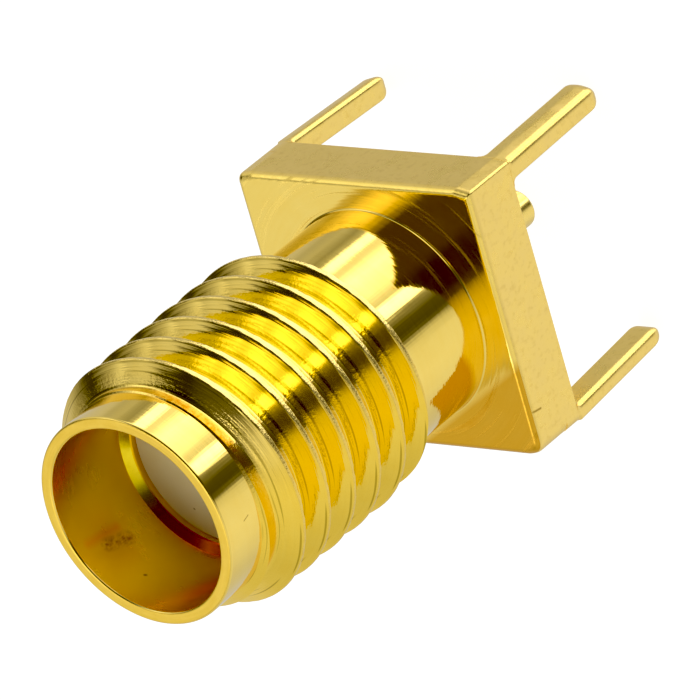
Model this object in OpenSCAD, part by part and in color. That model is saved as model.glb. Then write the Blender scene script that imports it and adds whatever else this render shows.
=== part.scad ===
// Straight threaded coaxial jack for a circuit board.
// The axis of the connector is Z. The flange seats on the board at Z = 0,
// the mating end points to +Z and the four legs and the solder tail to -Z.

/* [Flange] */
// Side of the square flange
flange_w = 5.08; // [4.8:0.02:6.5]
// Thickness of the flange
flange_t = 1.16; // [0.8:0.02:2.0]
// Rounding of the flange's front edges
front_r = 0.12; // [0.04:0.01:0.2]
// Width of the shallow relief along each corner of the square bar
relief_w = 0.30; // [0.1:0.01:0.3]
// Depth of that relief at the corner
relief_t = 0.05; // [0.02:0.01:0.1]

/* [Legs] */
// Width along X of the two legs on the +X side
leg_right = 0.54; // [0.34:0.01:0.6]
// Width along X of the two legs on the -X side
leg_left = 0.37; // [0.34:0.01:0.6]
// Width along Y of the two legs on the +Y side
leg_top = 0.42; // [0.34:0.01:0.6]
// Width along Y of the two legs on the -Y side
leg_bottom = 0.35; // [0.34:0.01:0.6]
// Length of a leg below the flange
leg_len = 2.70; // [2.0:0.05:4.0]
// Rounding of the leg tips
leg_tip_r = 0.14; // [0.04:0.01:0.15]
// Fillet between a leg and the underside of the flange
leg_fillet = 0.12; // [0.05:0.01:0.2]
// Lean of the leg at +X +Y, towards +X and +Y, in degrees
lean_pp = [-0.8, 1.2]; // [-5:0.1:5]
// Lean of the leg at -X +Y
lean_np = [1.0, -1.7]; // [-5:0.1:5]
// Lean of the leg at +X -Y
lean_pn = [-2.2, 2.7]; // [-5:0.1:5]
// Lean of the leg at -X -Y
lean_nn = [0.8, 0.9]; // [-5:0.1:5]

/* [Neck and thread] */
// Diameter of the plain neck
neck_d = 4.0; // [3.6:0.05:4.2]
// Major diameter of the 36 turns per inch thread
thread_d = 4.80; // [4.6:0.01:4.85]
// Height at which the thread ends, next to the neck
thread_z0 = 3.18; // [2.6:0.02:4.0]
// Height at which the thread's 45 degree front chamfer meets the lip
thread_z1 = 7.48; // [7.2:0.01:7.7]
// Axial length of the bevel at the thread's rear end
thread_bevel = 0.16; // [0.1:0.01:0.3]

/* [Mating end] */
// Height of the front rim above the board
rim_z = 8.27; // [8.0:0.01:9.0]
// Outer diameter of the front lip
lip_d = 3.90; // [3.7:0.02:4.0]
// Diameter of the mating bore
bore_d = 3.44; // [3.2:0.02:3.6]
// Depth of the straight wall of the mating bore
bore_depth = 1.86; // [1.5:0.02:2.2]
// Axial length of the cone that narrows the bore to the insulator
cone_h = 0.10; // [0.05:0.01:0.3]

/* [Insulator] */
// Diameter of the insulator
insulator_d = 3.12; // [2.6:0.02:3.12]
// Set-back of the insulator's front face behind the bore's cone
insulator_front = 0.09; // [0.0:0.01:0.2]
// Set-back of the insulator behind the board plane
insulator_back = 0.05; // [0.02:0.01:0.2]

/* [Centre contact] */
// Diameter of the contact
contact_d = 1.06; // [0.9:0.01:1.2]
// Set-back of the contact behind the insulator's front face
contact_back = 0.11; // [0.0:0.01:0.2]
// Diameter of the socket hole
socket_d = 0.53; // [0.45:0.01:0.6]
// Depth of the socket hole
socket_depth = 2.2; // [1.6:0.1:2.6]
// Width of the slots between the socket's fingers
slot_w = 0.08; // [0.05:0.01:0.09]
// Length of the slots
slot_len = 1.9; // [1.2:0.1:2.1]
// Diameter of the solder tail
tail_d = 0.72; // [0.5:0.01:0.8]
// Length of the solder tail below the board plane
tail_len = 2.69; // [1.8:0.01:2.7]

/* [Hidden] */
$fn = 96;
eps = 0.02;
gold = [0.87, 0.70, 0.33];
pale_gold = [0.90, 0.75, 0.42];
white_resin = [0.90, 0.89, 0.86];
// half sizes and radii
half_w = flange_w / 2;
r_neck = neck_d / 2;
r_thread = thread_d / 2;
r_lip = lip_d / 2;
r_bore = bore_d / 2;
r_ins = insulator_d / 2;
r_con = contact_d / 2;
r_tail = tail_d / 2;
r_socket = socket_d / 2;
// heights inside the bore
bore_z = rim_z - bore_depth;
seat_z = bore_z - cone_h;
face_z = seat_z - insulator_front;
contact_z = face_z - contact_back;
rim_c = 0.04;
tail_c = 0.05;

// square whose upper and lower sides fall away a little towards the corners
module bar_outline() {
    h = half_w;
    w = relief_w;
    t = relief_t;
    polygon([[h - w, h], [w - h, h], [-h, h - t], [-h, t - h],
             [w - h, -h], [h - w, -h], [h, t - h], [h, h - t]]);
}

// side view of the flange: its two front corners are round
module flange_side() {
    h = half_w;
    r = front_r;
    translate([-h, 0]) square([2 * h, flange_t - r]);
    translate([-h + r, 0]) square([2 * (h - r), flange_t]);
    for (s = [-1, 1])
        translate([s * (h - r), flange_t - r]) circle(r, $fn = 48);
}

module flange() {
    intersection() {
        linear_extrude(height = flange_t) bar_outline();
        rotate([90, 0, 0]) translate([0, 0, -flange_w])
            linear_extrude(height = 2 * flange_w) flange_side();
        rotate([90, 0, 90]) translate([0, 0, -flange_w])
            linear_extrude(height = 2 * flange_w) flange_side();
    }
}

// side view of a leg: a strip of width w whose lower end has rounded corners
module leg_side(w) {
    r = leg_tip_r;
    translate([0, -leg_len + r]) square([w, leg_len - r + 0.3]);
    translate([r, -leg_len]) square([w - 2 * r, leg_len]);
    translate([r, -leg_len + r]) circle(r, $fn = 48);
    translate([w - r, -leg_len + r]) circle(r, $fn = 48);
}

// a leg with its outer corner at the origin, reaching to -X and -Y from there
module leg_post(wx, wy) {
    intersection() {
        translate([0, 0, -leg_len - 1])
            linear_extrude(height = leg_len + 2)
                polygon([[-wx, -wy], [0, -wy], [0, -relief_t],
                         [-relief_w, 0], [-wx, 0]]);
        translate([-wx, 0.5, 0]) rotate([90, 0, 0])
            linear_extrude(height = wy + 1) leg_side(wx);
        translate([-wx - 0.5, -wy, 0]) rotate([90, 0, 90])
            linear_extrude(height = wx + 1) leg_side(wy);
    }
}

// hollow-sided strip that blends an inner face of a leg into the flange
module root_fillet(length) {
    f = leg_fillet;
    rotate([90, 0, 0]) translate([0, 0, -length])
        linear_extrude(height = length)
            difference() {
                translate([-f, -f]) square([f + eps, f + 0.1]);
                translate([-f, -f]) circle(f, $fn = 48);
            }
}

// fillets along the two inner faces of a leg, mitred where they meet
module leg_root(wx, wy) {
    f = leg_fillet;
    translate([-wx, -wy, 0]) root_fillet(wy);
    translate([-wx, -wy, 0]) mirror([1, -1, 0]) root_fillet(wx);
    intersection() {
        translate([-wx, -wy - f, 0]) root_fillet(f + eps);
        translate([-wx - f, -wy, 0]) mirror([1, -1, 0]) root_fillet(f + eps);
    }
}

// a leg with its root, placed in one corner of the flange
module leg(sx, sy, lean) {
    wx = sx > 0 ? leg_right : leg_left;
    wy = sy > 0 ? leg_top : leg_bottom;
    mirror([sx < 0 ? 1 : 0, 0, 0]) mirror([0, sy < 0 ? 1 : 0, 0])
        translate([half_w, half_w, 0]) {
            rotate([sy * lean[1], -sx * lean[0], 0]) leg_post(wx, wy);
            leg_root(wx, wy);
        }
}

// outside of the turned front: neck, thread at its major diameter, lip
module turned_outside() {
    b = thread_bevel;
    rotate_extrude($fn = 128)
        polygon([[0, flange_t - 0.2], [r_neck, flange_t - 0.2],
                 [r_neck, thread_z0], [r_thread, thread_z0 + b],
                 [r_thread, thread_z1 - (r_thread - r_lip)],
                 [r_lip, thread_z1], [r_lip, rim_z - rim_c],
                 [r_lip - rim_c, rim_z], [0, rim_z]]);
}

// stepped bore for the plug and the insulator
module turned_inside() {
    translate([0, 0, -1]) cylinder(h = seat_z + 1 + eps, r = r_ins);
    translate([0, 0, seat_z]) cylinder(h = cone_h, r1 = r_ins, r2 = r_bore);
    translate([0, 0, bore_z]) cylinder(h = bore_depth + 1, r = r_bore);
    translate([0, 0, rim_z - rim_c])
        cylinder(h = rim_c + eps, r1 = r_bore, r2 = r_bore + rim_c + eps);
}

module body() {
    color(gold) difference() {
        union() {
            flange();
            turned_outside();
            intersection() {
                union() {
                    leg(1, 1, lean_pp);
                    leg(-1, 1, lean_np);
                    leg(1, -1, lean_pn);
                    leg(-1, -1, lean_nn);
                }
                union() {
                    translate([-flange_w, -flange_w, -2 * leg_len])
                        cube([2 * flange_w, 2 * flange_w, 2 * leg_len]);
                    linear_extrude(height = flange_t) bar_outline();
                }
            }
        }
        turned_inside();
    }
}

module insulator() {
    color(white_resin) difference() {
        translate([0, 0, insulator_back])
            cylinder(h = face_z - insulator_back, r = r_ins);
        translate([0, 0, -1]) cylinder(h = rim_z + 1, r = r_con);
    }
}

module centre_contact() {
    color(pale_gold) difference() {
        rotate_extrude($fn = 96)
            polygon([[0, -tail_len], [r_tail - tail_c, -tail_len],
                     [r_tail, -tail_len + tail_c], [r_tail, insulator_back],
                     [r_con, insulator_back], [r_con, contact_z - 0.04],
                     [r_con - 0.04, contact_z], [0, contact_z]]);
        translate([0, 0, contact_z - socket_depth])
            cylinder(h = socket_depth + 1, r = r_socket);
        translate([0, 0, contact_z - 0.06])
            cylinder(h = 0.06 + eps, r1 = r_socket, r2 = r_socket + 0.06 + eps);
        for (a = [0, 90])
            rotate([0, 0, a])
                translate([-1, -slot_w / 2, contact_z - slot_len])
                    cube([2, slot_w, slot_len + 1]);
    }
}

body();
insulator();
centre_contact();
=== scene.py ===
import math

import bmesh
import bpy
import numpy as np
from mathutils import Matrix, Vector


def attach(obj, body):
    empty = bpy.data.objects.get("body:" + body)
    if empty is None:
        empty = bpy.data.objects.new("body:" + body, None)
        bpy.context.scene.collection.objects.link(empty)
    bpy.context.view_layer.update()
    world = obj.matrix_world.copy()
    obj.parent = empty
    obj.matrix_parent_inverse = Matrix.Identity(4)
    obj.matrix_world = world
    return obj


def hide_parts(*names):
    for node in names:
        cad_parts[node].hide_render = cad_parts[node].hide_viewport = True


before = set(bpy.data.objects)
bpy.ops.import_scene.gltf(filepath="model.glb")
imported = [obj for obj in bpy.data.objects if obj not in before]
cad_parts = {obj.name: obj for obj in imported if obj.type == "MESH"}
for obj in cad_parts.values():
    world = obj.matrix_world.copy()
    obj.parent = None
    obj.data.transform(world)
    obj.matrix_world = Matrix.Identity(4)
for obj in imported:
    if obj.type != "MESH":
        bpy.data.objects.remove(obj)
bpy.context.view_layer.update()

MM = 0.001
VIEW_AZ = 33.0  # azimuth of the camera round the axis, in degrees from +X
scene = bpy.context.scene

# ---------------------------------------------------------------- sizes, in mm
HALF = 2.54          # half of the flange's side
FLANGE_T = 1.16
RELIEF_W, RELIEF_T = 0.30, 0.06
LEG_LEN = 2.70
R_NECK, R_CREST, R_ROOT = 2.00, 2.40, 1.98
Z_END, Z_START = 3.18, 7.48
PITCH = 25.4 / 36
R_LIP, R_BORE, R_INS = 1.95, 1.72, 1.56
Z_RIM, Z_BORE, Z_SEAT, Z_FACE = 8.27, 6.41, 6.31, 6.22
R_CON, R_TAIL, R_SOCKET = 0.53, 0.36, 0.265
Z_CON, TAIL_LEN, INS_BACK = 6.11, 2.69, 0.05
SEG = 240            # segments round the turned pieces


# ---------------------------------------------------------------- mesh helpers
def to_object(name, bm):
    bmesh.ops.recalc_face_normals(bm, faces=bm.faces)
    me = bpy.data.meshes.new(name)
    bm.to_mesh(me)
    bm.free()
    ob = bpy.data.objects.new(name, me)
    scene.collection.objects.link(ob)
    return ob


def lathe(name, profile, seg=SEG, turn=0.0):
    """Closed solid of revolution. A profile point on the axis has radius 0."""
    bm = bmesh.new()
    rings = []
    for r, z in profile:
        if r < 1e-9:
            rings.append([bm.verts.new((0.0, 0.0, z))])
        else:
            rings.append([
                bm.verts.new((
                    r * math.cos(turn + 2 * math.pi * i / seg),
                    r * math.sin(turn + 2 * math.pi * i / seg), z))
                for i in range(seg)])
    closed = len(rings[0]) > 1
    pairs = list(zip(rings[:-1], rings[1:]))
    if closed:
        pairs.append((rings[-1], rings[0]))
    for a, b in pairs:
        for i in range(seg):
            j = (i + 1) % seg
            if len(a) == 1 and len(b) == 1:
                continue
            if len(a) == 1:
                bm.faces.new((a[0], b[i], b[j]))
            elif len(b) == 1:
                bm.faces.new((a[i], a[j], b[0]))
            else:
                bm.faces.new((a[i], a[j], b[j], b[i]))
    return to_object(name, bm)


def loft(name, loops):
    """Closed solid through loops that all have the same number of points."""
    bm = bmesh.new()
    rings = [[bm.verts.new(p) for p in loop] for loop in loops]
    n = len(rings[0])
    for a, b in zip(rings[:-1], rings[1:]):
        for i in range(n):
            j = (i + 1) % n
            bm.faces.new((a[i], a[j], b[j], b[i]))
    bm.faces.new(rings[0])
    bm.faces.new(rings[-1])
    return to_object(name, bm)


def cut(ob, other, how):
    """Applies one exact boolean to ob and removes the other solid."""
    mod = ob.modifiers.new("b", "BOOLEAN")
    mod.operation = how
    mod.solver = "EXACT"
    mod.object = other
    dg = bpy.context.evaluated_depsgraph_get()
    me = bpy.data.meshes.new_from_object(ob.evaluated_get(dg))
    old = ob.data
    ob.modifiers.clear()
    ob.data = me
    bpy.data.meshes.remove(old)
    gone = other.data
    bpy.data.objects.remove(other)
    bpy.data.meshes.remove(gone)


def arc(cx, cz, r, a0, a1, n):
    return [(cx + r * math.cos(math.radians(a0 + (a1 - a0) * i / n)),
             cz + r * math.sin(math.radians(a0 + (a1 - a0) * i / n)))
            for i in range(n + 1)]


def curve2(p, q, r, n):
    """Points of a quadratic curve from p to r that is pulled towards q."""
    out = []
    for i in range(n + 1):
        t = i / n
        out.append(tuple((1 - t) ** 2 * a + 2 * t * (1 - t) * b + t * t * c
                         for a, b, c in zip(p, q, r)))
    return out


def rounded(points, radii, n=6):
    """Convex outline whose corners are replaced by n+1 points of a blend."""
    out = []
    m = len(points)
    reach = list(radii)
    for i in range(m):
        j = (i + 1) % m
        room = 0.92 * (Vector(points[j]) - Vector(points[i])).length
        both = radii[i] + radii[j]
        if both > room:   # two blends share the side between them
            reach[i] = min(reach[i], radii[i] * room / both)
            reach[j] = min(reach[j], radii[j] * room / both)
    for i in range(m):
        p0, p1, p2 = (Vector(points[(i + k) % m]) for k in (-1, 0, 1))
        a, b = (p0 - p1), (p2 - p1)
        a.normalize()
        b.normalize()
        t = reach[i]
        out += [Vector(v) for v in curve2(p1 + a * t, p1, p1 + b * t, n)]
    return out


# ---------------------------------------------------------------- the thread
def crest_width(deg):
    """The crest's flat is widest on one side, as the blank ran out a little."""
    d = (deg - VIEW_AZ - 17.0 + 180.0) % 360.0 - 180.0
    w = 0.046 + 0.062 * math.exp(-((d / 24.0) ** 2))
    t = math.radians(deg)
    return w + 0.005 * math.sin(5 * t + 0.7) + 0.003 * math.sin(11 * t + 2.1)


def ragged(deg):
    """Small wander of the crest's edges, different from turn to turn."""
    k = deg / 2.0 * 1.005
    return 0.008 * math.sin(1.9 * k) * math.sin(0.53 * k + 1.0)


HALF_ANGLE = math.radians(25.5)
HALF_TAN = math.tan(HALF_ANGLE)


def thread_profile(deg):
    """(axial offset from the crest's middle, radius) over one pitch."""
    wc = crest_width(deg)
    depth = R_CREST - R_ROOT
    flank = depth * HALF_TAN
    e = 0.014
    j = ragged(deg)
    root_half = (PITCH - wc) / 2 - flank
    g = min(0.03, root_half * 0.9)
    half = [
        (wc / 2 - e + j, R_CREST),
        (wc / 2 - 0.134 * e + j, R_CREST - 0.232 * e),
        (wc / 2 + 0.5 * e + 0.5 * j, R_CREST - 0.5 * e / HALF_TAN),
        (wc / 2 + 1.0 * e, R_CREST - 1.0 * e / HALF_TAN),
        (wc / 2 + flank - 1.0 * g, R_ROOT + 1.0 * g / HALF_TAN),
        (wc / 2 + flank - 0.5 * g, R_ROOT + 0.5 * g / HALF_TAN),
        (wc / 2 + flank + 0.134 * g, R_ROOT + 0.232 * g),
        (wc / 2 + flank + g, R_ROOT),
    ]
    rows = [(0.0, R_CREST)] + half + [(PITCH / 2, R_ROOT)]
    rows += [(PITCH - s, r) for s, r in reversed(half)]
    return rows


def thread_solid():
    n = 180
    rows = 18
    turns = 9.4
    start = VIEW_AZ - 180.0
    z0 = 5.525 - 0.5 * PITCH - 5 * PITCH
    steps = int(turns * n)
    bm = bmesh.new()
    grid = []
    for m in range(steps):
        deg = start + 360.0 * m / n
        t = math.radians(deg)
        zc = z0 + PITCH * m / n
        col = [bm.verts.new((r * math.cos(t), r * math.sin(t), zc + s))
               for s, r in thread_profile(deg)]
        grid.append(col)
    for m in range(steps - 1):
        for j in range(rows):
            if j + 1 < rows:
                c, d = grid[m + 1][j + 1], grid[m][j + 1]
            elif m + 1 + n < steps:
                c, d = grid[m + 1 + n][0], grid[m + n][0]
            else:
                continue
            bm.faces.new((grid[m][j], grid[m + 1][j], c, d))
    bm.edges.ensure_lookup_table()
    edges = {e for e in bm.edges if e.is_boundary}
    while edges:
        e = edges.pop()
        first, v = e.verts
        loop = [first, v]
        while v is not first:
            nxt = next(x for x in v.link_edges if x in edges)
            edges.discard(nxt)
            v = nxt.other_vert(v)
            loop.append(v)
        loop = loop[:-1]
        zs = [w.co.z for w in loop]
        low = sum(zs) / len(zs) < 5.3
        tip = bm.verts.new((0, 0, min(zs) - 0.2 if low else max(zs) + 0.2))
        for i in range(len(loop)):
            bm.faces.new((loop[i], loop[(i + 1) % len(loop)], tip))
    ob = to_object("thread", bm)
    env = lathe("env", [
        (0, Z_END), (R_NECK - 0.05, Z_END), (2.45, Z_END + 0.18),
        (2.45, Z_START - 0.40), (R_LIP - 0.01, Z_START - 0.043),
        (0, Z_START - 0.043)], turn=0.0031)
    cut(ob, env, "INTERSECT")
    return ob


# ---------------------------------------------------------------- flange, legs
CORNER = {(1, 1): 0.05, (-1, 1): 0.15, (-1, -1): 0.12, (1, -1): 0.24}
LEGS = {  # widths along X and Y, lean towards +X and +Y in degrees
    (1, 1): (0.54, 0.42, -0.8, 1.2),
    (-1, 1): (0.37, 0.42, 1.0, -1.7),
    (1, -1): (0.54, 0.35, -2.2, 2.7),
    (-1, -1): (0.37, 0.35, 0.8, 0.9),
}
LEG_EDGE = {  # blends of a leg's long edges, from its inner corner round
    (1, 1): (0.10, 0.06, 0.13, 0.04, 0.06),
    (-1, 1): (0.06, 0.07, 0.06, 0.03, 0.12),
    (1, -1): (0.06, 0.13, 0.07, 0.03, 0.08),
    (-1, -1): (0.07, 0.07, 0.07, 0.03, 0.07),
}


def bar_outline(inset):
    """Square whose upper and lower sides fall away towards the corners."""
    h, w, t = HALF - inset, RELIEF_W, RELIEF_T
    pts = [(h - w, h), (w - h, h), (-h, h - t), (-h, t - h),
           (w - h, -h), (h - w, -h), (h, t - h), (h, h - t)]
    c = {k: max(v - inset, 0.02) for k, v in CORNER.items()}
    rad = [0.03, 0.03, c[(-1, 1)], c[(-1, -1)], 0.03, 0.03, c[(1, -1)], c[(1, 1)]]
    return rounded(pts, rad, 6)


def flange_solid():
    r = 0.13
    loops = []
    for inset, z in [(0.022, 0.0), (0.006, 0.006), (0.0, 0.022)]:
        loops.append([(p.x, p.y, z) for p in bar_outline(inset)])
    for z in (0.3, 0.6, 0.9):
        loops.append([(p.x, p.y, z) for p in bar_outline(0.0)])
    for k in range(0, 9):
        a = math.radians(90 * k / 8)
        loops.append([(p.x, p.y, FLANGE_T - r + r * math.sin(a))
                      for p in bar_outline(r * (1 - math.cos(a)))])
    return loft("flange", loops)


def leg_solid(sx, sy):
    wx, wy, lx, ly = LEGS[(sx, sy)]
    tip = 0.28
    f = 0.13
    zs = [0.35, 0.06, 0.004, 0.0]
    zs += [-f * (1 - math.cos(math.radians(90 * k / 6))) - 1e-4 for k in range(1, 7)]
    zs += [-0.6, -1.2, -1.8, -2.3]
    zs += [-LEG_LEN + tip * (1 - math.sin(math.radians(90 * k / 7))) for k in range(8)]
    loops = []
    for z in zs:
        outer = 0.004 if z > 0.002 else 0.0
        grow = 0.0
        if z > -f:
            d = max(0.0, f + min(z, 0.0))
            grow = f - math.sqrt(max(f * f - d * d, 0.0))
        if z > 0.002:
            grow = 0.05
        inset = 0.0
        if z < -LEG_LEN + tip:
            d = (-LEG_LEN + tip) - z
            inset = 1.0 - math.sqrt(max(1.0 - (d / tip) ** 2, 0.0))
            inset *= min(wx, wy) / 2 - 0.012
        x0, x1 = -wx - grow + inset, -outer - inset
        y0, y1 = -wy - grow + inset, -outer - inset
        t = RELIEF_T * min(1.0, (y1 - y0) / 0.2)
        w = min(RELIEF_W, (x1 - x0) * 0.6)
        pts = [(x0, y0), (x1, y0), (x1, y1 - t), (x1 - w, y1), (x0, y1)]
        big = min(1.0, (y1 - y0) / 0.33)
        edge = [v * big for v in LEG_EDGE[(sx, sy)]]
        if z > -0.05:
            edge[2] = min(CORNER[(sx, sy)], (y1 - y0) * 0.5)
        pts = rounded(pts, edge, 6)
        low = min(z, 0.0)
        dx, dy = -low * math.tan(math.radians(lx)), -low * math.tan(math.radians(ly))
        loop = [(sx * (HALF + p.x) + dx, sy * (HALF + p.y) + dy, z) for p in pts]
        loops.append(loop)
    return loft("leg", loops)


# ---------------------------------------------------------------- body
def body_solid():
    ob = thread_solid()
    lip = [(0, 7.15), (1.90, 7.15), (R_LIP, 7.30)]
    lip += arc(R_LIP - 0.045, Z_RIM - 0.045, 0.045, 0, 90, 5)
    lip += [(1.5, Z_RIM), (0, Z_RIM)]
    cut(ob, lathe("lip", lip, turn=0.0047), "UNION")
    f = 0.045
    neck = [(0, 0.5), (R_NECK + f, 0.5)]
    neck += arc(R_NECK + f, FLANGE_T - 0.003 + f, f, -90, -180, 6)
    neck += [(R_NECK, Z_END + 0.02), (0, Z_END + 0.02)]
    cut(ob, lathe("neck", neck, turn=0.0013), "UNION")
    cut(ob, flange_solid(), "UNION")
    for key in LEGS:
        cut(ob, leg_solid(*key), "UNION")
    bore = [(0, -0.5), (R_INS, -0.5), (R_INS, Z_SEAT)]
    bore += [(R_INS + 0.035, Z_SEAT + 0.004), (R_BORE, Z_SEAT + 0.13), (R_BORE, Z_RIM - 0.045)]
    bore += [
        (R_BORE + 0.045 * (1 - math.cos(math.radians(18 * k))),
         Z_RIM - 0.045 + 0.045 * math.sin(math.radians(18 * k))) for k in range(1, 6)]
    bore += [(R_BORE + 0.045, Z_RIM + 0.5), (0, Z_RIM + 0.5)]
    cut(ob, lathe("bore", bore, turn=0.0023), "DIFFERENCE")
    return ob


def clean(ob, angle):
    """Welds, shades smooth up to the given angle and scales from mm to m."""
    me = ob.data
    bm = bmesh.new()
    bm.from_mesh(me)
    bmesh.ops.remove_doubles(bm, verts=bm.verts, dist=0.0004)
    bmesh.ops.dissolve_degenerate(bm, dist=0.0003, edges=bm.edges)
    big = [f for f in bm.faces if len(f.verts) > 4]
    bmesh.ops.triangulate(bm, faces=big, quad_method="BEAUTY", ngon_method="BEAUTY")
    bm.verts.index_update()
    # slivers folded flat on themselves, and edges left over from the welding
    seen = {}
    for f in bm.faces:
        seen.setdefault(frozenset(v.index for v in f.verts), []).append(f)
    twins = [f for fs in seen.values() if len(fs) == 2 for f in fs]
    bmesh.ops.delete(bm, geom=twins, context="FACES")
    bmesh.ops.delete(bm, geom=[e for e in bm.edges if not e.link_faces], context="EDGES")
    bmesh.ops.delete(bm, geom=[v for v in bm.verts if not v.link_faces], context="VERTS")
    bmesh.ops.recalc_face_normals(bm, faces=bm.faces)
    bm.to_mesh(me)
    open_edges = sum(1 for e in bm.edges if len(e.link_faces) != 2)
    bm.free()
    for p in me.polygons:
        p.use_smooth = True
    me.set_sharp_from_angle(angle=math.radians(angle))
    mod = ob.modifiers.new("w", "WEIGHTED_NORMAL")
    mod.mode = "FACE_AREA"
    mod.keep_sharp = True
    dg = bpy.context.evaluated_depsgraph_get()
    me = bpy.data.meshes.new_from_object(ob.evaluated_get(dg))
    old = ob.data
    ob.modifiers.clear()
    ob.data = me
    bpy.data.meshes.remove(old)
    me.transform(Matrix.Scale(MM, 4))
    me.update()
    print(ob.name, "faces", len(me.polygons), "open edges", open_edges)


# ---------------------------------------------------------------- materials
def new_material(name):
    mat = bpy.data.materials.new(name)
    mat.use_nodes = True
    nt = mat.node_tree
    bsdf = nt.nodes["Principled BSDF"]
    return mat, nt, bsdf


def add(nt, kind, **values):
    n = nt.nodes.new(kind)
    for k, v in values.items():
        if hasattr(n, k):
            setattr(n, k, v)
        else:
            n.inputs[k].default_value = v
    return n


def math_node(nt, op, a, b=None, c=None):
    n = nt.nodes.new("ShaderNodeMath")
    n.operation = op
    for i, v in enumerate((a, b, c)):
        if v is None:
            continue
        if isinstance(v, (int, float)):
            n.inputs[i].default_value = v
        else:
            nt.links.new(v, n.inputs[i])
    return n.outputs[0]


def ramp(nt, fac, stops, mode="LINEAR"):
    n = nt.nodes.new("ShaderNodeValToRGB")
    n.color_ramp.interpolation = mode
    el = n.color_ramp.elements
    while len(el) < len(stops):
        el.new(0.5)
    for e, (p, c) in zip(el, stops):
        e.position = p
    for e, (p, c) in zip(el, stops):
        e.color = c if len(c) == 4 else (*c, 1.0)
    nt.links.new(fac, n.inputs["Fac"])
    return n.outputs["Color"]


def position_mm(nt):
    """Object coordinates in millimetres: x, y, z and distance from the axis."""
    tc = nt.nodes.new("ShaderNodeTexCoord")
    sc = nt.nodes.new("ShaderNodeVectorMath")
    sc.operation = "SCALE"
    sc.inputs["Scale"].default_value = 1000.0
    nt.links.new(tc.outputs["Object"], sc.inputs[0])
    sep = nt.nodes.new("ShaderNodeSeparateXYZ")
    nt.links.new(sc.outputs[0], sep.inputs[0])
    x, y, z = sep.outputs
    r = math_node(nt, "SQRT", math_node(
        nt, "ADD", math_node(nt, "MULTIPLY", x, x), math_node(nt, "MULTIPLY", y, y)))
    return sc.outputs[0], x, y, z, r


def noise(nt, vec, scale, detail=2.0, rough=0.5, dims="3D", w=None):
    n = nt.nodes.new("ShaderNodeTexNoise")
    n.noise_dimensions = dims
    n.inputs["Scale"].default_value = scale
    n.inputs["Detail"].default_value = detail
    n.inputs["Roughness"].default_value = rough
    if dims == "1D":
        nt.links.new(w, n.inputs["W"])
    else:
        nt.links.new(vec, n.inputs["Vector"])
    return n.outputs["Fac"]


def map_range(nt, v, a, b, c, d):
    n = nt.nodes.new("ShaderNodeMapRange")
    n.inputs["From Min"].default_value = a
    n.inputs["From Max"].default_value = b
    n.inputs["To Min"].default_value = c
    n.inputs["To Max"].default_value = d
    nt.links.new(v, n.inputs["Value"])
    return n.outputs["Result"]


def bump(nt, bsdf, height, strength, distance):
    n = nt.nodes.new("ShaderNodeBump")
    n.inputs["Strength"].default_value = strength
    n.inputs["Distance"].default_value = distance * MM
    nt.links.new(height, n.inputs["Height"])
    nt.links.new(n.outputs["Normal"], bsdf.inputs["Normal"])


GOLD_A = (1.0, 0.755, 0.205)
GOLD_B = (0.985, 0.725, 0.180)


def streaks(nt, x, y, r, along, k, fine, detail=2.0):
    """Noise drawn out round the axis: k per radian, fine lines per mm."""
    c = nt.nodes.new("ShaderNodeCombineXYZ")
    nt.links.new(math_node(nt, "MULTIPLY", math_node(nt, "DIVIDE", x, r), k), c.inputs[0])
    nt.links.new(math_node(nt, "MULTIPLY", math_node(nt, "DIVIDE", y, r), k), c.inputs[1])
    nt.links.new(math_node(nt, "MULTIPLY", along, fine), c.inputs[2])
    return noise(nt, c.outputs[0], 1.0, detail, 0.6)


def mark(nt, vec, a, b, width):
    """1 on the line from a to b (mm), falling to 0 at the given width."""
    a, b = Vector(a), Vector(b)
    d = b - a
    sub_ = nt.nodes.new("ShaderNodeVectorMath")
    sub_.operation = "SUBTRACT"
    nt.links.new(vec, sub_.inputs[0])
    sub_.inputs[1].default_value = a
    dot = nt.nodes.new("ShaderNodeVectorMath")
    dot.operation = "DOT_PRODUCT"
    nt.links.new(sub_.outputs[0], dot.inputs[0])
    dot.inputs[1].default_value = d / max(d.length_squared, 1e-9)
    t = map_range(nt, dot.outputs["Value"], 0.0, 1.0, 0.0, 1.0)
    sc = nt.nodes.new("ShaderNodeVectorMath")
    sc.operation = "SCALE"
    sc.inputs[0].default_value = d
    nt.links.new(t, sc.inputs["Scale"])
    dist = nt.nodes.new("ShaderNodeVectorMath")
    dist.operation = "DISTANCE"
    nt.links.new(sub_.outputs[0], dist.inputs[0])
    nt.links.new(sc.outputs[0], dist.inputs[1])
    return map_range(nt, dist.outputs["Value"], 0.0, width, 1.0, 0.0)


def tint(nt, colour, mask, shade):
    """Multiplies a colour by the shade where the mask is 1."""
    m = nt.nodes.new("ShaderNodeMix")
    m.data_type = "RGBA"
    m.blend_type = "MULTIPLY"
    nt.links.new(mask, m.inputs[0])
    nt.links.new(colour, m.inputs[6])
    m.inputs[7].default_value = (*shade, 1.0)
    return m.outputs[2]


def gold(nt, bsdf, colour):
    nt.links.new(colour, bsdf.inputs["Base Color"])
    bsdf.inputs["Metallic"].default_value = 1.0


def total(nt, *terms):
    """Weighted sum of (socket, weight) pairs."""
    out = None
    for v, w in terms:
        v = math_node(nt, "MULTIPLY", v, w)
        out = v if out is None else math_node(nt, "ADD", out, v)
    return out


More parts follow.
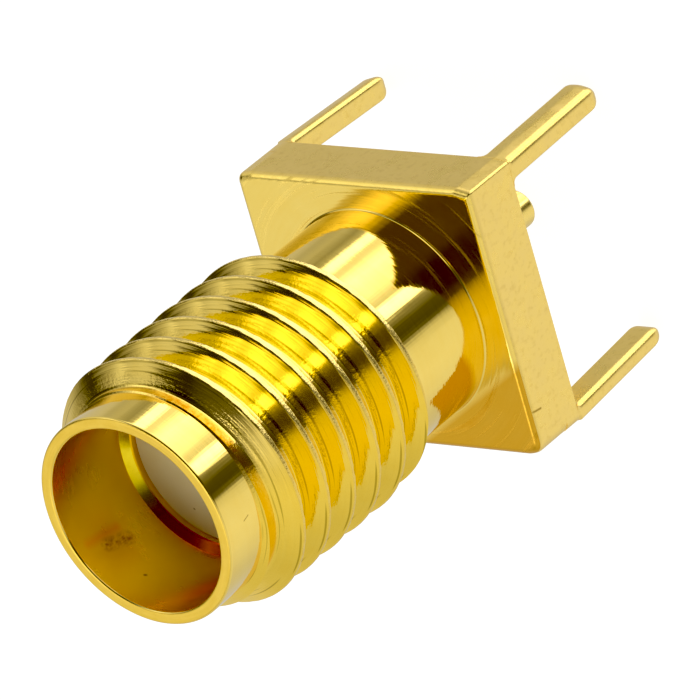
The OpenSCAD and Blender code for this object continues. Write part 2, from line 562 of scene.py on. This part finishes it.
def turned_gold():
    """Bright turned plating with fine rings left by the tool."""
    mat, nt, bsdf = new_material("gold_turned")
    vec, x, y, z, r = position_mm(nt)
    fine = streaks(nt, x, y, r, z, 2.4, 26.0, 1.0)
    coarse = streaks(nt, x, y, r, z, 1.1, 8.0, 1.0)
    wave = streaks(nt, x, y, r, z, 9.0, 0.7, 1.0)
    patch = noise(nt, vec, 2.2, 3.0, 0.55)
    col = ramp(nt, total(nt, (patch, 0.6), (coarse, 0.4)), [(0.35, GOLD_A), (0.65, GOLD_B)])
    scratch = mark(nt, vec, (1.949, -0.062, 7.802), (1.95, -0.021, 7.675), 0.016)
    gold(nt, bsdf, tint(nt, col, scratch, (0.45, 0.40, 0.35)))
    rough = total(nt, (map_range(nt, fine, 0.3, 0.7, 0.03, 0.07), 1.0),
                  (map_range(nt, patch, 0.35, 0.65, 0.0, 0.03), 1.0), (scratch, 0.3))
    nt.links.new(rough, bsdf.inputs["Roughness"])
    bump(nt, bsdf, total(nt, (fine, 0.40), (coarse, 0.55), (wave, 1.9)), 0.45, 0.004)
    return mat


def thread_gold():
    """Thread flanks: fine rings follow the flank."""
    mat, nt, bsdf = new_material("gold_thread")
    vec, x, y, z, r = position_mm(nt)
    fine = streaks(nt, x, y, r, r, 3.0, 30.0, 1.0)
    coarse = streaks(nt, x, y, r, r, 1.6, 13.0, 1.0)
    wave = streaks(nt, x, y, r, r, 7.0, 4.0, 1.0)
    patch = noise(nt, vec, 3.0, 3.0, 0.55)
    col = ramp(nt, total(nt, (patch, 0.6), (coarse, 0.4)), [(0.35, GOLD_A), (0.65, GOLD_B)])
    line = streaks(nt, x, y, r, r, 1.2, 15.0, 1.0)
    col = tint(nt, col, map_range(nt, line, 0.40, 0.33, 0.0, 1.0), (0.62, 0.62, 0.55))
    # painted reflection: flanks on the side round -27° azimuth are painted a deeper yellow
    side = math_node(nt, "DIVIDE", total(nt, (x, 0.891), (y, -0.454)), r)
    col = tint(nt, col, map_range(nt, side, 0.60, 0.88, 0.0, 1.0), (1.0, 0.95, 0.60))
    # painted light: faces turned back towards the flange are painted lighter and greener
    face = nt.nodes.new("ShaderNodeSeparateXYZ")
    nt.links.new(nt.nodes.new("ShaderNodeNewGeometry").outputs["True Normal"], face.inputs[0])
    rear_painted_light = map_range(nt, face.outputs[2], -0.1, -0.3, 0.0, 1.0)
    # painted shade: the groove at the foot of the lip is painted darker and speckled along one stretch
    foot = math_node(nt, "MULTIPLY", map_range(nt, r, 2.07, 2.02, 0.0, 1.0),
                     map_range(nt, z, 7.22, 7.30, 0.0, 1.0))
    side = math_node(nt, "DIVIDE", total(nt, (x, 0.629), (y, 0.777)), r)
    foot = math_node(nt, "MULTIPLY", foot, map_range(nt, side, 0.78, 0.94, 0.0, 1.0))
    spot = noise(nt, vec, 11.0, 3.0, 0.65)
    groove_shade = math_node(nt, "MULTIPLY", foot, map_range(nt, spot, 0.40, 0.60, 0.2, 1.0))
    col = tint(nt, col, groove_shade, (0.80, 0.60, 0.35))
    gold(nt, bsdf, tint(nt, col, rear_painted_light, (1.0, 1.14, 1.0)))
    rough = total(nt, (map_range(nt, fine, 0.3, 0.7, 0.04, 0.09), 1.0),
                  (map_range(nt, patch, 0.35, 0.65, 0.0, 0.03), 1.0))
    nt.links.new(rough, bsdf.inputs["Roughness"])
    grain = noise(nt, vec, 17.0, 2.0, 0.6)
    deep = map_range(nt, r, R_ROOT + 0.10, R_ROOT + 0.30, 1.0, 0.0)
    grain = math_node(nt, "MULTIPLY", grain, deep)
    bump(nt, bsdf, total(nt, (fine, 0.40), (coarse, 0.80), (wave, 0.10), (grain, 0.9)),
         0.70, 0.004)
    return mat


def crest_gold():
    """Crests of the thread: worn and a little rough, so they sparkle."""
    mat, nt, bsdf = new_material("gold_crest")
    vec, x, y, z, r = position_mm(nt)
    f = noise(nt, vec, 6.0, 3.0, 0.6)
    col = ramp(nt, f, [(0.3, (1.0, 0.775, 0.27)), (0.7, (0.975, 0.72, 0.21))])
    # painted reflection: crests on the side round -27° azimuth are painted a deeper yellow
    side = math_node(nt, "DIVIDE", total(nt, (x, 0.891), (y, -0.454)), r)
    gold(nt, bsdf, tint(nt, col, map_range(nt, side, 0.60, 0.88, 0.0, 1.0), (0.93, 0.88, 0.66)))
    nt.links.new(map_range(nt, f, 0.3, 0.7, 0.12, 0.24), bsdf.inputs["Roughness"])
    grain = noise(nt, vec, 21.0, 3.0, 0.65)
    bump(nt, bsdf, grain, 0.60, 0.012)
    return mat


def ledge_gold():
    """Small chamfer above the insulator: bright, with painted shade, dark red, along one stretch."""
    mat, nt, bsdf = new_material("gold_ledge")
    vec, x, y, z, r = position_mm(nt)
    f = noise(nt, vec, 5.0, 3.0, 0.55)
    col = ramp(nt, f, [(0.3, (1.0, 0.77, 0.06)), (0.7, (0.98, 0.73, 0.05))])
    # painted shade: the stretch round -107° azimuth is painted dark red
    side = math_node(nt, "DIVIDE", total(nt, (x, -0.292), (y, -0.956)), r)
    gold(nt, bsdf, tint(nt, col, map_range(nt, side, 0.62, 0.88, 0.0, 1.0), (0.95, 0.34, 0.2)))
    nt.links.new(map_range(nt, f, 0.3, 0.7, 0.14, 0.24), bsdf.inputs["Roughness"])
    return mat


def faced_gold():
    """Front of the flange: faced on the lathe, rings about the axis."""
    mat, nt, bsdf = new_material("gold_faced")
    vec, x, y, z, r = position_mm(nt)
    fine = streaks(nt, x, y, r, r, 2.6, 20.0, 1.0)
    coarse = streaks(nt, x, y, r, r, 1.0, 9.0, 1.0)
    patch = noise(nt, vec, 1.8, 3.0, 0.55)
    col = ramp(nt, total(nt, (patch, 0.6), (coarse, 0.4)), [(0.35, GOLD_A), (0.65, GOLD_B)])
    corner = total(nt, (x, 0.545), (y, -0.838))      # painted reflection: one corner is painted a darker, deeper gold
    gold(nt, bsdf, tint(nt, col, map_range(nt, corner, 1.92, 2.12, 0.0, 1.0),
                        (0.72, 0.55, 0.28)))
    band = streaks(nt, x, y, r, r, 0.9, 11.0, 2.0)
    rough = total(nt, (map_range(nt, fine, 0.3, 0.7, 0.07, 0.13), 1.0),
                  (map_range(nt, patch, 0.35, 0.65, 0.0, 0.04), 1.0),
                  (map_range(nt, band, 0.55, 0.70, 0.0, 0.36), 1.0))
    nt.links.new(rough, bsdf.inputs["Roughness"])
    bump(nt, bsdf, total(nt, (fine, 0.35), (coarse, 0.9)), 0.60, 0.006)
    return mat


def rim_gold():
    """Front edge: satin, deeper in colour where plugs have rubbed it."""
    mat, nt, bsdf = new_material("gold_rim")
    vec, x, y, z, r = position_mm(nt)
    f = noise(nt, vec, 5.0, 4.0, 0.6)
    rub = streaks(nt, x, y, r, r, 3.0, 24.0, 1.0)
    col = ramp(nt, total(nt, (f, 0.5), (rub, 0.5)),
               [(0.35, (0.96, 0.675, 0.125)), (0.65, (0.88, 0.60, 0.095))])
    gold(nt, bsdf, col)
    rough = map_range(nt, f, 0.3, 0.7, 0.28, 0.38)
    nt.links.new(rough, bsdf.inputs["Roughness"])
    grain = noise(nt, vec, 24.0, 3.0, 0.6)
    bump(nt, bsdf, total(nt, (grain, 0.7), (rub, 0.3)), 0.16, 0.01)
    return mat


def satin_gold():
    """Drawn bar and milled legs: satin, with faint mottling and specks."""
    mat, nt, bsdf = new_material("gold_satin")
    vec, x, y, z, r = position_mm(nt)
    f = noise(nt, vec, 2.6, 4.0, 0.6)
    col = ramp(nt, f, [(0.28, (1.0, 0.735, 0.205)), (0.72, (0.985, 0.73, 0.235))])
    sp = noise(nt, vec, 9.0, 3.0, 0.55)
    col = tint(nt, col, map_range(nt, sp, 0.52, 0.80, 0.0, 1.0), (0.88, 0.85, 0.78))
    # a short dark dash drawn down the right side of the flange near its front face
    dark_dash = mark(nt, vec, (2.54, -1.700, 1.13), (2.54, -1.736, 0.88), 0.030)
    col = tint(nt, col, dark_dash, (0.35, 0.28, 0.15))
    gold(nt, bsdf, col)
    rough = map_range(nt, f, 0.3, 0.7, 0.25, 0.34)
    nt.links.new(rough, bsdf.inputs["Roughness"])
    grain = noise(nt, vec, 26.0, 3.0, 0.6)
    bump(nt, bsdf, grain, 0.14, 0.01)
    return mat


def bore_gold():
    """Inside of the bore: duller, with rings, a scuff and a speck."""
    mat, nt, bsdf = new_material("gold_bore")
    vec, x, y, z, r = position_mm(nt)
    fine = streaks(nt, x, y, r, z, 2.0, 16.0, 1.0)
    patch = noise(nt, vec, 1.6, 2.0, 0.5)
    col = ramp(nt, patch, [(0.3, (0.98, 0.71, 0.185)), (0.7, (0.95, 0.68, 0.165))])
    scuff = mark(nt, vec, (-1.44, -0.94, 7.62), (-1.37, -1.04, 7.20), 0.16)
    broken = map_range(nt, streaks(nt, x, y, r, z, 26.0, 9.0, 3.0), 0.35, 0.6, 0.0, 1.0)
    scuff = math_node(nt, "MULTIPLY", scuff, broken)
    speck = mark(nt, vec, (-0.847, -1.497, 7.564), (-0.86, -1.49, 7.58), 0.035)
    col = tint(nt, col, scuff, (0.40, 0.26, 0.15))
    rub = mark(nt, vec, (-1.546, -0.754, 7.95), (-1.508, -0.828, 7.25), 0.13)
    col = tint(nt, col, math_node(nt, "MULTIPLY", rub, 0.8), (1.0, 0.74, 0.35))
    gold(nt, bsdf, tint(nt, col, speck, (0.30, 0.22, 0.15)))
    rough = total(nt, (map_range(nt, fine, 0.3, 0.7, 0.25, 0.28), 1.0),
                  (map_range(nt, patch, 0.3, 0.7, 0.0, 0.06), 1.0), (scuff, 0.2))
    nt.links.new(rough, bsdf.inputs["Roughness"])
    bump(nt, bsdf, fine, 0.03, 0.004)
    return mat


def contact_gold():
    """Plated spring socket and solder tail."""
    mat, nt, bsdf = new_material("gold_contact")
    vec, x, y, z, r = position_mm(nt)
    f = noise(nt, vec, 3.0, 3.0, 0.55)
    gold(nt, bsdf, ramp(nt, f, [(0.3, (1.0, 0.765, 0.24)), (0.7, (0.985, 0.735, 0.21))]))
    fine = noise(nt, None, 60.0, 2.0, 0.5, "1D", z)
    rough = map_range(nt, fine, 0.3, 0.7, 0.16, 0.26)
    nt.links.new(rough, bsdf.inputs["Roughness"])
    bump(nt, bsdf, fine, 0.2, 0.005)
    return mat


def white_resin():
    """Smooth white fluoropolymer with faint turning rings, its base colour painted yellow with the gold
    light bounced off the bore walls.
    """
    mat, nt, bsdf = new_material("white_resin")
    vec, x, y, z, r = position_mm(nt)
    f = noise(nt, vec, 3.0, 3.0, 0.5)
    # painted light: the yellow in this base colour stands in for gold light bounced off the bore walls
    col = ramp(nt, f, [(0.3, (0.96, 0.88, 0.56)), (0.7, (0.98, 0.91, 0.61))])
    speck = mark(nt, vec, (-0.673, -0.971, 6.22), (-0.66, -0.985, 6.22), 0.022)
    col = tint(nt, col, speck, (0.45, 0.40, 0.30))
    nt.links.new(col, bsdf.inputs["Base Color"])
    bsdf.inputs["Specular IOR Level"].default_value = 0.35
    rings = noise(nt, None, 30.0, 2.0, 0.5, "1D", r)
    rough = map_range(nt, rings, 0.3, 0.7, 0.45, 0.60)
    nt.links.new(rough, bsdf.inputs["Roughness"])
    bump(nt, bsdf, rings, 0.15, 0.006)
    return mat


# ---------------------------------------------------------------- build pieces
body = body_solid()
body.name = "body_visual"
clean(body, 32.0)

insulator = lathe("insulator_visual", [
    (R_CON, INS_BACK), (R_INS - 0.03, INS_BACK), (R_INS, INS_BACK + 0.03),
    (R_INS, Z_FACE - 0.02), (R_INS - 0.02, Z_FACE),
    (R_CON + 0.02, Z_FACE), (R_CON, Z_FACE - 0.02)], 160)
clean(insulator, 32.0)

contact = lathe("contact_visual", [
    (0, -TAIL_LEN), (R_TAIL - 0.06, -TAIL_LEN)] + arc(
        R_TAIL - 0.06, -TAIL_LEN + 0.06, 0.06, -90, 0, 4)[1:] + [
    (R_TAIL, INS_BACK), (R_CON, INS_BACK), (R_CON, Z_CON - 0.04),
    (R_CON - 0.04, Z_CON), (R_SOCKET + 0.06, Z_CON), (R_SOCKET, Z_CON - 0.06),
    (R_SOCKET, Z_CON - 2.2), (0, Z_CON - 2.2)], 96, turn=0.011)
for a in (0.0, 90.0):
    bm = bmesh.new()
    bmesh.ops.create_cube(bm, size=1.0)
    bmesh.ops.scale(bm, vec=(1.6, 0.08, 2.4), verts=bm.verts)
    bmesh.ops.translate(bm, vec=(0, 0, Z_CON - 1.9 + 1.2), verts=bm.verts)
    bmesh.ops.rotate(bm, cent=(0, 0, 0), matrix=Matrix.Rotation(
        math.radians(a), 3, "Z"), verts=bm.verts)
    cut(contact, to_object("slot", bm), "DIFFERENCE")
clean(contact, 32.0)

# faces of the body take their finish from where they are
for m in (satin_gold(), turned_gold(), thread_gold(), faced_gold(), bore_gold(),
          rim_gold(), crest_gold(), ledge_gold()):
    body.data.materials.append(m)
for p in body.data.polygons:
    c = p.center / MM
    r = math.hypot(c.x, c.y)
    n = p.normal
    out = (n.x * c.x + n.y * c.y) / max(r, 1e-9)
    if c.z < 1.1:
        k = 0
        if r < R_INS + 0.01 and abs(n.z) < 0.5:
            k = 4
    elif c.z < FLANGE_T + 0.002 and n.z > 0.5 and r > R_NECK + 0.04:
        k = 3
    elif c.z < FLANGE_T - 0.001:
        k = 0
    elif r < R_BORE + 0.02 and out < 0.3 and c.z < Z_RIM - 0.05:
        k = 7 if Z_SEAT - 0.005 < c.z < Z_SEAT + 0.125 and n.z > 0.3 else 4
    elif c.z > Z_RIM - 0.02 and n.z > 0.75:
        k = 5
    elif Z_END - 0.03 < c.z < Z_START + 0.004 and r > 1.952 and (r > 2.003 or c.z > Z_END + 0.05):
        k = 6 if r > R_CREST - 0.02 else 2
    else:
        k = 1
    p.material_index = k
insulator.data.materials.append(white_resin())
contact.data.materials.append(contact_gold())

for ob, node, slot in ((body, "body", "gold_plate"),
                       (insulator, "insulator", "white_ptfe"),
                       (contact, "centre_contact", "contact_gold")):
    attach(ob, "root")
    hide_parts(node)

# ---------------------------------------------------------------- floor
bm = bmesh.new()
bmesh.ops.create_grid(bm, x_segments=1, y_segments=1, size=1.5)
floor = to_object("floor", bm)
floor.location = (0, 0, -2.706 * MM)
mat, nt, bsdf = new_material("floor_white")
tc = nt.nodes.new("ShaderNodeTexCoord")
f = noise(nt, tc.outputs["Object"], 6.0, 2.0, 0.5)
col = ramp(nt, f, [(0.3, (0.30, 0.30, 0.30)), (0.7, (0.31, 0.31, 0.31))])
nt.links.new(col, bsdf.inputs["Base Color"])
bsdf.inputs["Roughness"].default_value = 0.9
bsdf.inputs["Specular IOR Level"].default_value = 0.0
bsdf.inputs["Emission Color"].default_value = (1.0, 1.0, 1.0, 1.0)
bsdf.inputs["Emission Strength"].default_value = 0.90
floor.data.materials.append(mat)
floor.visible_glossy = False
floor.visible_diffuse = False
floor.visible_shadow = False
floor.visible_transmission = False

# ---------------------------------------------------------------- light
# A tent of pale cloth with a few brighter strips and dark gaps round it.
world = bpy.data.worlds.new("tent")
scene.world = world
world.use_nodes = True
nt = world.node_tree
for n in list(nt.nodes):
    nt.nodes.remove(n)
tc = nt.nodes.new("ShaderNodeTexCoord")
sep = nt.nodes.new("ShaderNodeSeparateXYZ")
nt.links.new(tc.outputs["Generated"], sep.inputs[0])
az = math_node(nt, "ARCTAN2", sep.outputs[1], sep.outputs[0])
turn = math_node(nt, "FRACT", math_node(
    nt, "ADD", math_node(nt, "DIVIDE", math_node(
        nt, "SUBTRACT", az, math.radians(VIEW_AZ)), 2 * math.pi), 0.5))


def ring(stops, top):
    """Brightness round the tent; angles are from the camera's side."""
    first, last = stops[0], stops[-1]
    gap = first[0] + 360.0 - last[0]
    v = last[1] + (first[1] - last[1]) * (180.0 - last[0]) / gap
    stops = [(-180.0, v)] + [s for s in stops if -180.0 < s[0] < 180.0] + [(180.0, v)]
    return ramp(nt, turn, [((a + 180.0) / 360.0, (b / top, b / top, b / top))
                           for a, b in stops])


# elevation, then (angle, brightness) pairs
TENT = [
    (-80, [(-180, 0.6), (-90, 0.8), (-40, 0.8), (-25, 0.3), (-8, 0.4), (5, 1.7),
           (75, 1.7), (90, 0.5)]),
    (-41, [(-180, 0.58), (-120, 0.65), (-90, 0.83), (-70, 0.88), (-46, 0.84),
           (-36, 0.70), (-30, 0.16), (-25, 0.09), (-15, 0.11), (-4.5, 0.36),
           (-1.5, 2.4), (7, 3.0), (9.5, 2.4), (12, 0.80), (18, 0.95), (24, 1.40),
           (36, 1.75), (46, 2.2), (53, 1.9), (60, 1.05), (66, 0.95), (70, 2.4),
           (78, 2.5), (83, 0.50), (90, 0.33), (102, 0.52), (114, 0.46),
           (124, 0.58), (150, 0.56)]),
    (-18, [(-180, 0.60), (-132, 0.66), (-92, 0.83), (-70, 0.88), (-46, 0.82),
           (-36, 0.66), (-29, 0.14), (-24, 0.08), (-14, 0.11), (-4, 0.25),
           (-1.5, 1.1), (2, 1.5), (12, 1.75), (36, 1.65), (52, 1.42), (78, 1.38),
           (85, 0.55), (96, 0.58), (116, 0.65), (150, 0.60)]),
    (12, [(-180, 0.75), (-120, 0.68), (-60, 0.74), (-40, 0.55), (-28, 0.10),
          (-5, 0.15), (5, 1.0), (40, 1.2), (52, 0.45), (80, 0.40), (96, 0.80),
          (118, 0.75), (128, 0.16), (142, 0.08), (156, 0.55)]),
    (30, [(-180, 0.80), (-150, 0.60), (-131, 0.68), (-96, 0.76), (-64, 0.84),
          (-40, 0.66), (-32, 0.45), (-25, 0.09), (-16, 0.05), (72, 0.08),
          (82, 0.40), (94, 1.15), (104, 1.10), (110, 0.75), (119, 0.45),
          (126, 0.14), (132, 0.06), (142, 0.06), (154, 0.50), (166, 0.80)]),
    (41.5, [(-180, 0.83), (-150, 0.58), (-125, 0.75), (-112, 0.78), (-64, 0.84),
            (-40, 0.66), (-32, 0.44), (-25, 0.09), (-16, 0.05), (10, 0.05),
            (20, 0.09), (70, 0.09), (80, 0.36), (88, 0.95), (94, 1.25), (102, 1.38),
            (112, 1.32), (120, 1.06), (128, 0.88), (136, 0.68), (144, 0.64),
            (155, 0.60), (168, 0.80)]),
    (44, [(-180, 0.84), (-150, 0.58), (-125, 0.76), (-112, 0.79), (-64, 0.84),
          (-40, 0.66), (-32, 0.44), (-25, 0.09), (-16, 0.05), (10, 0.05),
          (20, 0.09), (70, 0.09), (80, 0.34), (90, 1.00), (102, 1.20),
          (108, 1.05), (114, 0.90), (119, 0.76), (124, 0.66), (128.6, 0.54),
          (131, 0.42), (134, 0.24), (137, 0.20), (142, 0.48), (155, 0.58), (168, 0.80)]),
    (54, [(-180, 1.10), (-150, 0.90), (-130, 0.80), (-114, 0.82), (-64, 0.80),
          (-40, 0.55), (-26, 0.10), (0, 0.06), (106, 0.05), (113.5, 0.06), (115, 0.12),
          (116.5, 0.60), (118, 0.70), (121, 0.70), (124, 0.66), (128, 0.58), (136, 0.62), (150, 0.85)]),
    (68, [(-180, 3.20), (-150, 2.80), (-130, 1.10), (-112, 0.79), (-100, 0.76),
          (-84, 0.66), (-70, 0.50), (-50, 0.25), (-25, 0.12), (10, 0.08), (100, 0.06),
          (109, 0.05), (115, 0.06), (120, 0.28), (132, 0.65), (145, 2.00), (165, 3.10)]),
    (80, [(-180, 3.00), (-140, 2.30), (-110, 1.05), (-92, 0.72), (-84, 0.62),
          (-76, 0.48), (-68, 0.36), (-51, 0.22), (-1, 0.17), (51, 0.15), (80, 0.13),
          (100, 0.12), (120, 0.40), (150, 2.20)]),
]
top = max(v for el, stops in TENT for a, v in stops)
height = math_node(nt, "MULTIPLY", math_node(nt, "ARCSINE", sep.outputs[2]), 180 / math.pi)
light = None
for (el, stops), below in zip(TENT, [None] + TENT[:-1]):
    band = ring(stops, top)
    if light is not None:
        mix = nt.nodes.new("ShaderNodeMix")
        mix.data_type = "RGBA"
        nt.links.new(map_range(nt, height, below[0], el, 0.0, 1.0), mix.inputs[0])
        nt.links.new(light, mix.inputs[6])
        nt.links.new(band, mix.inputs[7])
        band = mix.outputs[2]
    light = band
bg = nt.nodes.new("ShaderNodeBackground")
bg.inputs["Strength"].default_value = top
nt.links.new(light, bg.inputs["Color"])
white = nt.nodes.new("ShaderNodeBackground")
white.inputs["Strength"].default_value = 1.0
white.inputs["Color"].default_value = (1, 1, 1, 1)
lp = nt.nodes.new("ShaderNodeLightPath")
pick = nt.nodes.new("ShaderNodeMixShader")
nt.links.new(lp.outputs["Is Camera Ray"], pick.inputs[0])
nt.links.new(bg.outputs[0], pick.inputs[1])
nt.links.new(white.outputs[0], pick.inputs[2])
out = nt.nodes.new("ShaderNodeOutputWorld")
nt.links.new(pick.outputs[0], out.inputs["Surface"])

scene.view_settings.view_transform = "Standard"
scene.view_settings.look = "None"
scene.view_settings.use_curve_mapping = True
cm = scene.view_settings.curve_mapping
cm.black_level = (0.03, 0.03, 0.03)
cm.update()

# ---------------------------------------------------------------- camera
cam = bpy.data.cameras.new("camera")
cam.sensor_width = 36.0
cam.lens = 519.218
cam.clip_start = 0.01
cam.clip_end = 20.0
eye = bpy.data.objects.new("camera", cam)
scene.collection.objects.link(eye)
right = Vector((0.7701253, -0.2558517, -0.5843346))
down = Vector((0.0732451, -0.87451263, 0.47944011))
ahead = Vector((-0.63367356, -0.4120286, -0.65474442))
m = Matrix((right, -down, -ahead)).transposed().to_4x4()
m.translation = Vector((107.31082516, 69.70903091, 113.15859605)) * MM
eye.matrix_world = m
scene.camera = eye

bpy.context.view_layer.update()
